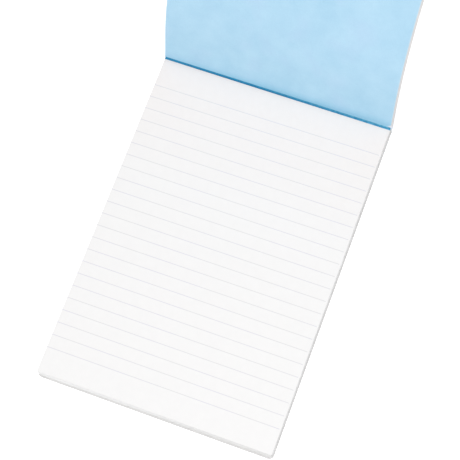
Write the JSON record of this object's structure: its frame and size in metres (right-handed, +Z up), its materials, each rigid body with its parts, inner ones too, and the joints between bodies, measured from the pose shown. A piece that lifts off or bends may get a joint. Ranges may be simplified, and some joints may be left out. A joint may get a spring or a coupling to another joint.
{
  "type": "writing pad",
  "caption": "Top-bound ruled writing pad lying open, its pale blue lined cover flipped back over a dark blue taped head.",
  "frame": {"origin": "centre of the back board's underside", "axes": "+X across the page to the right, +Y up the page towards the bound head, +Z up out of the page"},
  "size_m": [0.1504, 0.3837, 0.1086],
  "materials": {
    "paper": "matt white writing paper with pale ruled lines",
    "card": "matt light grey card",
    "glue": "dried white padding glue",
    "tape": "dark blue binding tape with a slight sheen",
    "lining": "light blue mottled paper"
  },
  "bodies": {
    "pad": {"sheet_block": "paper", "back_board": "card", "padding_glue": "glue", "tape_on_pad": "tape"},
    "cover": {"cover_board": "card", "cover_lining": "lining", "tape_on_cover": "tape"}
  },
  "joints": [
    {"name": "cover_fold", "type": "hinge", "parent": "pad", "child": "cover", "pos_m": [0, 0.10612, 0.00649], "axis": [1, 0, 0], "range_deg": [-32, 114]}
  ]
}
